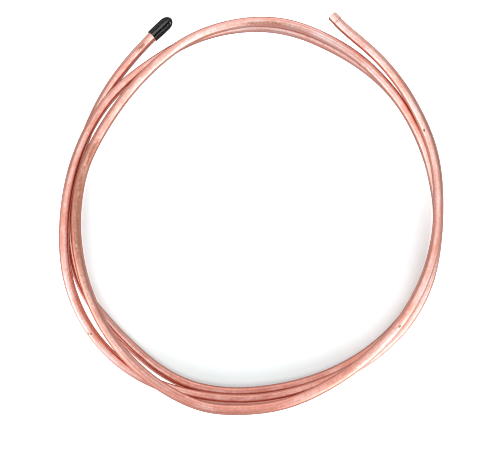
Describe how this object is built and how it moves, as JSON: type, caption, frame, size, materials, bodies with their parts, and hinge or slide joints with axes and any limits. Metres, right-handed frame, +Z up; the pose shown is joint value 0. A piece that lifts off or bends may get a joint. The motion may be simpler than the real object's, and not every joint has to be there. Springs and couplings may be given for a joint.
{
  "type": "soft copper tube coil",
  "caption": "Loose hand-wound coil of soft copper tube with an open square-cut end and a push-on black end cap, for chilling liquid by immersion or forming into a chiller.",
  "frame": {"origin": "middle of the coil's footprint, on the plane it rests on", "axes": "+Z up along the coil's axis, +Y towards the two tube ends, +X towards the open end's side"},
  "size_m": [0.3562, 0.3774, 0.0293],
  "materials": {
    "copper": "bare drawn soft copper, bright with light brown tarnish, fine lengthwise draw marks",
    "black_vinyl": "satin dip-moulded soft vinyl"
  },
  "bodies": {
    "tube": {"copper_tube": "copper"},
    "cap": {"end_cap": "black_vinyl"}
  },
  "joints": [
    {"name": "cap_pull_off", "type": "slide", "parent": "tube", "child": "cap", "axis": [0.7103, 0.7035, 0.0246], "range_m": [0, 0.035]}
  ]
}
